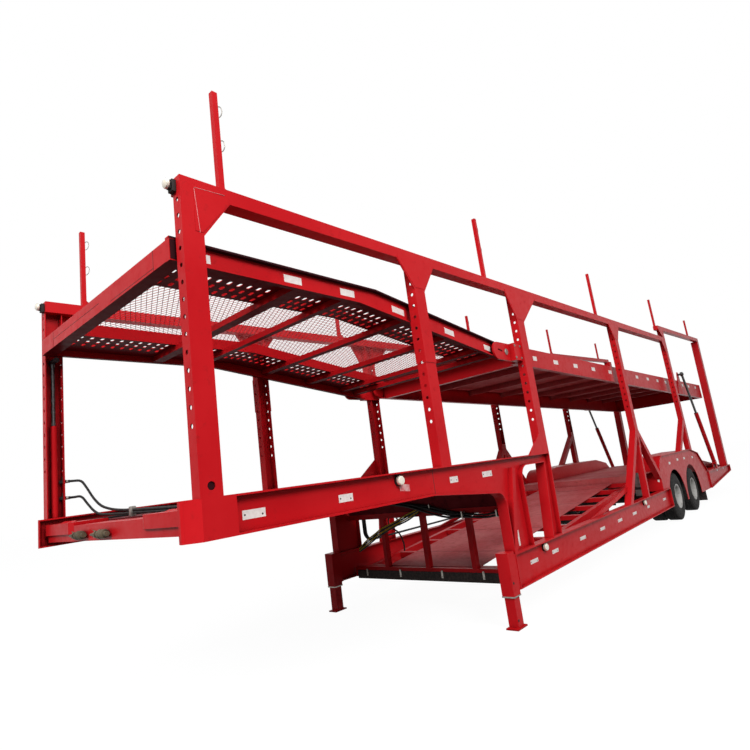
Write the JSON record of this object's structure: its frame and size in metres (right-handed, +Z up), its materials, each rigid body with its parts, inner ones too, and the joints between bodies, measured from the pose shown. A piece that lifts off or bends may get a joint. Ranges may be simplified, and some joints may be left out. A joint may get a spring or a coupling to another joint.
{
  "type": "car transporter semi-trailer",
  "caption": "Open double-deck car transporter semi-trailer with a gooseneck front, side posts, top rails, tilting upper decks and tandem twin wheels, painted red.",
  "frame": {"origin": "on the floor on the trailer's centre line, halfway along its length", "axes": "+X to the rear, +Z up, the trailer's left side at -Y"},
  "size_m": [15.5, 2.55, 4.5475],
  "materials": {
    "axle_paint": "satin",
    "coupling_brown": "satin",
    "deck_paint": "worn",
    "flap_rubber": "matte",
    "hose_rubber": "matte",
    "lamp_lens": "gloss",
    "red_paint": "satin",
    "rod_steel": "satin",
    "tyre_rubber": "matte",
    "wheel_paint": "satin"
  },
  "bodies": {
    "chassis": {"air_couplings": "coupling_brown", "axle_deck": "deck_paint", "axles": "axle_paint", "fifth_posts": "red_paint", "fourth_posts": "red_paint", "front_crossbeam": "red_paint", "front_lift_barrels": "red_paint", "front_posts": "red_paint", "gooseneck_floor": "red_paint", "goosenecks": "red_paint", "hydraulic_hoses": "hose_rubber", "landing_legs": "red_paint", "lower_beams": "red_paint", "marker_lamps": "lamp_lens", "mudflaps": "flap_rubber", "neck_crossmember": "red_paint", "rear_posts": "red_paint", "second_posts": "red_paint", "stakes": "red_paint", "suspension": "axle_paint", "tail_frame": "red_paint", "third_posts": "red_paint", "top_rails": "red_paint", "well_deck_frame": "red_paint", "well_deck_plate": "deck_paint", "wheel_arches": "red_paint"},
    "front_deck": {"front_deck_frame": "red_paint", "front_deck_tracks": "deck_paint", "front_deck_mesh": "deck_paint"},
    "rear_deck": {"rear_deck_frame": "red_paint", "rear_deck_plate": "deck_paint"},
    "front_lift_rod_left": {"front_lift_rod_left": "rod_steel"},
    "rear_barrel_left": {"rear_barrel_left": "red_paint"},
    "rear_rod_left": {"rear_rod_left": "rod_steel"},
    "wheel_front_left": {"tyres_front_left": "tyre_rubber", "rims_front_left": "wheel_paint"},
    "wheel_rear_left": {"tyres_rear_left": "tyre_rubber", "rims_rear_left": "wheel_paint"},
    "front_lift_rod_right": {"front_lift_rod_right": "rod_steel"},
    "rear_barrel_right": {"rear_barrel_right": "red_paint"},
    "rear_rod_right": {"rear_rod_right": "rod_steel"},
    "wheel_front_right": {"tyres_front_right": "tyre_rubber", "rims_front_right": "wheel_paint"},
    "wheel_rear_right": {"tyres_rear_right": "tyre_rubber", "rims_rear_right": "wheel_paint"}
  },
  "joints": [
    {"name": "front_deck_tilt", "type": "hinge", "parent": "chassis", "child": "front_deck", "pos_m": [-3.75, 0, 2.715], "axis": [0, 1, 0], "range_deg": [-7.5, 0]},
    {"name": "rear_deck_tilt", "type": "hinge", "parent": "chassis", "child": "rear_deck", "pos_m": [-3.405, 0, 2.735], "axis": [0, 1, 0], "range_deg": [0, 8]},
    {"name": "front_lift_slide_left", "type": "slide", "parent": "chassis", "child": "front_lift_rod_left", "axis": [0, 0, 1], "range_m": [-0.5076, 0]},
    {"name": "rear_cylinder_swing_left", "type": "hinge", "parent": "chassis", "child": "rear_barrel_left", "pos_m": [6.22, -1.195, 0.76], "axis": [0, 1, 0], "range_deg": [-22.37, 0]},
    {"name": "rear_cylinder_slide_left", "type": "slide", "parent": "rear_barrel_left", "child": "rear_rod_left", "axis": [-0.4974, 0, 0.8675], "range_m": [-0.8639, 0]},
    {"name": "wheel_spin_front_left", "type": "hinge", "parent": "chassis", "child": "wheel_front_left", "pos_m": [2.04, -0.977, 0.4275], "axis": [0, 1, 0], "continuous": true},
    {"name": "wheel_spin_rear_left", "type": "hinge", "parent": "chassis", "child": "wheel_rear_left", "pos_m": [3.35, -0.977, 0.4275], "axis": [0, 1, 0], "continuous": true},
    {"name": "front_lift_slide_right", "type": "slide", "parent": "chassis", "child": "front_lift_rod_right", "axis": [0, 0, 1], "range_m": [-0.5076, 0]},
    {"name": "rear_cylinder_swing_right", "type": "hinge", "parent": "chassis", "child": "rear_barrel_right", "pos_m": [6.22, 1.195, 0.76], "axis": [0, 1, 0], "range_deg": [-22.37, 0]},
    {"name": "rear_cylinder_slide_right", "type": "slide", "parent": "rear_barrel_right", "child": "rear_rod_right", "axis": [-0.4974, 0, 0.8675], "range_m": [-0.8639, 0]},
    {"name": "wheel_spin_front_right", "type": "hinge", "parent": "chassis", "child": "wheel_front_right", "pos_m": [2.04, 0.977, 0.4275], "axis": [0, 1, 0], "continuous": true},
    {"name": "wheel_spin_rear_right", "type": "hinge", "parent": "chassis", "child": "wheel_rear_right", "pos_m": [3.35, 0.977, 0.4275], "axis": [0, 1, 0], "continuous": true}
  ],
  "couplings": [
    {"joint": "front_lift_slide_left", "follows": "front_deck_tilt", "m_per_rad": 3.8704},
    {"joint": "rear_cylinder_swing_left", "follows": "rear_deck_tilt", "ratio": -2.7899},
    {"joint": "rear_cylinder_slide_left", "follows": "rear_deck_tilt", "m_per_rad": -6.1804},
    {"joint": "front_lift_slide_right", "follows": "front_deck_tilt", "m_per_rad": 3.8704},
    {"joint": "rear_cylinder_swing_right", "follows": "rear_deck_tilt", "ratio": -2.7899},
    {"joint": "rear_cylinder_slide_right", "follows": "rear_deck_tilt", "m_per_rad": -6.1804}
  ]
}
